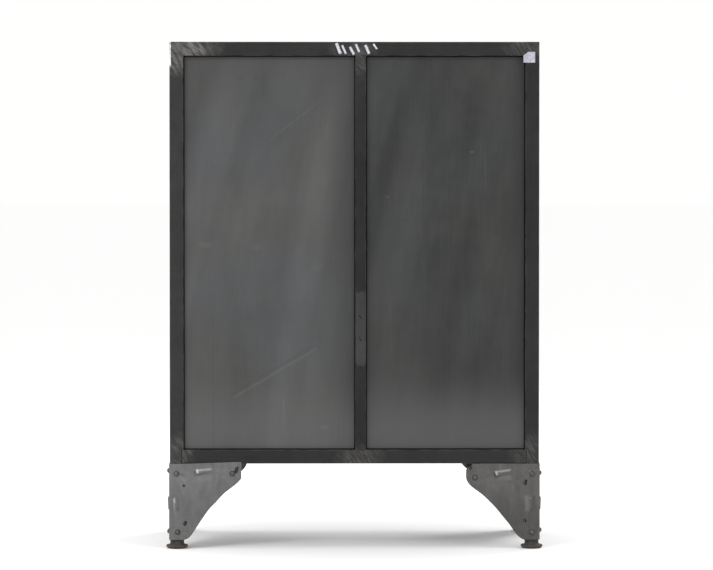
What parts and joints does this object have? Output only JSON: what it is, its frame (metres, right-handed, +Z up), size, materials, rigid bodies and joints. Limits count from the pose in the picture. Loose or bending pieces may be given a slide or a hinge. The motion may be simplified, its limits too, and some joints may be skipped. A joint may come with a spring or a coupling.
{
  "type": "steel storage cabinet",
  "caption": "Welded square-tube steel cabinet with hinged doors, a turn handle, inner shelves and riveted sheet-metal legs on levelling feet.",
  "frame": {"origin": "on the floor, at the centre of the cabinet's footprint", "axes": "+Z up, doors face -Y, back faces +Y, +X to the right as seen from the front"},
  "size_m": [0.859, 0.4404, 1.154],
  "materials": {
    "frame_tube": "ground and waxed raw steel, dark patina",
    "door_tube": "ground and waxed raw steel, dark patina",
    "sheet_panel": "brushed and waxed steel sheet, clouded patina",
    "shelf_sheet": "brushed steel sheet",
    "bracket_steel": "raw steel angle",
    "leg_sheet": "pressed steel sheet, dull grey, worn",
    "rivet_steel": "round-head rivet, worn",
    "foot_iron": "cast iron, brown rust bloom",
    "foot_steel": "turned steel, dull",
    "hinge_steel": "raw steel, burnished at the barrels",
    "handle_iron": "cast iron, rubbed bright at the edges",
    "latch_steel": "bright steel, dulled",
    "rubber": "matte black",
    "label_paper": "blank paper, matte"
  },
  "bodies": {
    "root": {"bolt_keeper": "bracket_steel", "door_bumpers": "rubber", "door_stops": "bracket_steel", "foot_nuts": "foot_steel", "hinge_leaves_fixed": "hinge_steel", "hinge_pins": "hinge_steel", "label": "label_paper", "leg_cleats": "bracket_steel", "leg_front_left": "leg_sheet", "leg_front_right": "leg_sheet", "leg_rear_left": "leg_sheet", "leg_rear_right": "leg_sheet", "leg_rivets": "rivet_steel", "panel_bottom": "sheet_panel", "panel_rear_left": "sheet_panel", "panel_rear_right": "sheet_panel", "panel_side_left": "sheet_panel", "panel_side_right": "sheet_panel", "panel_top": "sheet_panel", "post_caps": "frame_tube", "post_front_left": "frame_tube", "post_front_right": "frame_tube", "post_rear_centre": "frame_tube", "post_rear_left": "frame_tube", "post_rear_right": "frame_tube", "rail_front_bottom": "frame_tube", "rail_front_top": "frame_tube", "rail_left_bottom": "frame_tube", "rail_left_top": "frame_tube", "rail_rear_bottom": "frame_tube", "rail_rear_top": "frame_tube", "rail_right_bottom": "frame_tube", "rail_right_top": "frame_tube", "shelf_cleats": "bracket_steel", "shelf_lower": "shelf_sheet", "shelf_upper": "shelf_sheet"},
    "door_left": {"bolt_guides": "latch_steel", "door_left_hinge_stile": "door_tube", "door_left_meeting_stile": "door_tube", "door_left_panel": "sheet_panel", "door_left_rails": "door_tube", "hinge_leaves_door_left": "hinge_steel", "latch_strike": "latch_steel"},
    "door_right": {"door_right_hinge_stile": "door_tube", "door_right_meeting_stile": "door_tube", "door_right_panel": "sheet_panel", "door_right_rails": "door_tube", "handle_escutcheon": "handle_iron", "hinge_leaves_door_right": "hinge_steel"},
    "handle": {"handle": "handle_iron", "latch_tongue": "latch_steel"},
    "bolt": {"bolt_rod": "latch_steel"},
    "foot_pad_rear_left": {"foot_pad_rear_left": "foot_iron"},
    "foot_stem_rear_left": {"foot_stem_rear_left": "foot_steel"},
    "foot_pad_rear_right": {"foot_pad_rear_right": "foot_iron"},
    "foot_stem_rear_right": {"foot_stem_rear_right": "foot_steel"},
    "foot_pad_front_left": {"foot_pad_front_left": "foot_iron"},
    "foot_stem_front_left": {"foot_stem_front_left": "foot_steel"},
    "foot_pad_front_right": {"foot_pad_front_right": "foot_iron"},
    "foot_stem_front_right": {"foot_stem_front_right": "foot_steel"}
  },
  "joints": [
    {"name": "door_left_hinge", "type": "hinge", "parent": "root", "child": "door_left", "pos_m": [-0.38725, -0.198, 0.674], "axis": [0, 0, -1], "range_deg": [0, 170]},
    {"name": "door_right_hinge", "type": "hinge", "parent": "root", "child": "door_right", "pos_m": [0.38725, -0.198, 0.674], "axis": [0, 0, 1], "range_deg": [0, 170]},
    {"name": "handle_turn", "type": "hinge", "parent": "door_right", "child": "handle", "pos_m": [0.014, -0.19, 0.69], "axis": [0, -1, 0], "range_deg": [0, 90]},
    {"name": "bolt_slide", "type": "slide", "parent": "door_left", "child": "bolt", "axis": [0, 0, 1], "range_m": [0, 0.02]},
    {"name": "foot_lift_rear_left", "type": "slide", "parent": "root", "child": "foot_pad_rear_left", "axis": [0, 0, -1], "range_m": [0, 0.01225]},
    {"name": "foot_screw_rear_left", "type": "hinge", "parent": "foot_pad_rear_left", "child": "foot_stem_rear_left", "pos_m": [-0.4045, 0.197, 0.03], "axis": [0, 0, -1], "range_deg": [0, 2520]},
    {"name": "foot_lift_rear_right", "type": "slide", "parent": "root", "child": "foot_pad_rear_right", "axis": [0, 0, -1], "range_m": [0, 0.01225]},
    {"name": "foot_screw_rear_right", "type": "hinge", "parent": "foot_pad_rear_right", "child": "foot_stem_rear_right", "pos_m": [0.4045, 0.197, 0.03], "axis": [0, 0, -1], "range_deg": [0, 2520]},
    {"name": "foot_lift_front_left", "type": "slide", "parent": "root", "child": "foot_pad_front_left", "axis": [0, 0, -1], "range_m": [0, 0.01225]},
    {"name": "foot_screw_front_left", "type": "hinge", "parent": "foot_pad_front_left", "child": "foot_stem_front_left", "pos_m": [-0.4045, -0.177, 0.03], "axis": [0, 0, -1], "range_deg": [0, 2520]},
    {"name": "foot_lift_front_right", "type": "slide", "parent": "root", "child": "foot_pad_front_right", "axis": [0, 0, -1], "range_m": [0, 0.01225]},
    {"name": "foot_screw_front_right", "type": "hinge", "parent": "foot_pad_front_right", "child": "foot_stem_front_right", "pos_m": [0.4045, -0.177, 0.03], "axis": [0, 0, -1], "range_deg": [0, 2520]}
  ],
  "couplings": [
    {"joint": "foot_screw_rear_left", "follows": "foot_lift_rear_left", "rad_per_m": 3590.3},
    {"joint": "foot_screw_rear_right", "follows": "foot_lift_rear_right", "rad_per_m": 3590.3},
    {"joint": "foot_screw_front_left", "follows": "foot_lift_front_left", "rad_per_m": 3590.3},
    {"joint": "foot_screw_front_right", "follows": "foot_lift_front_right", "rad_per_m": 3590.3}
  ]
}
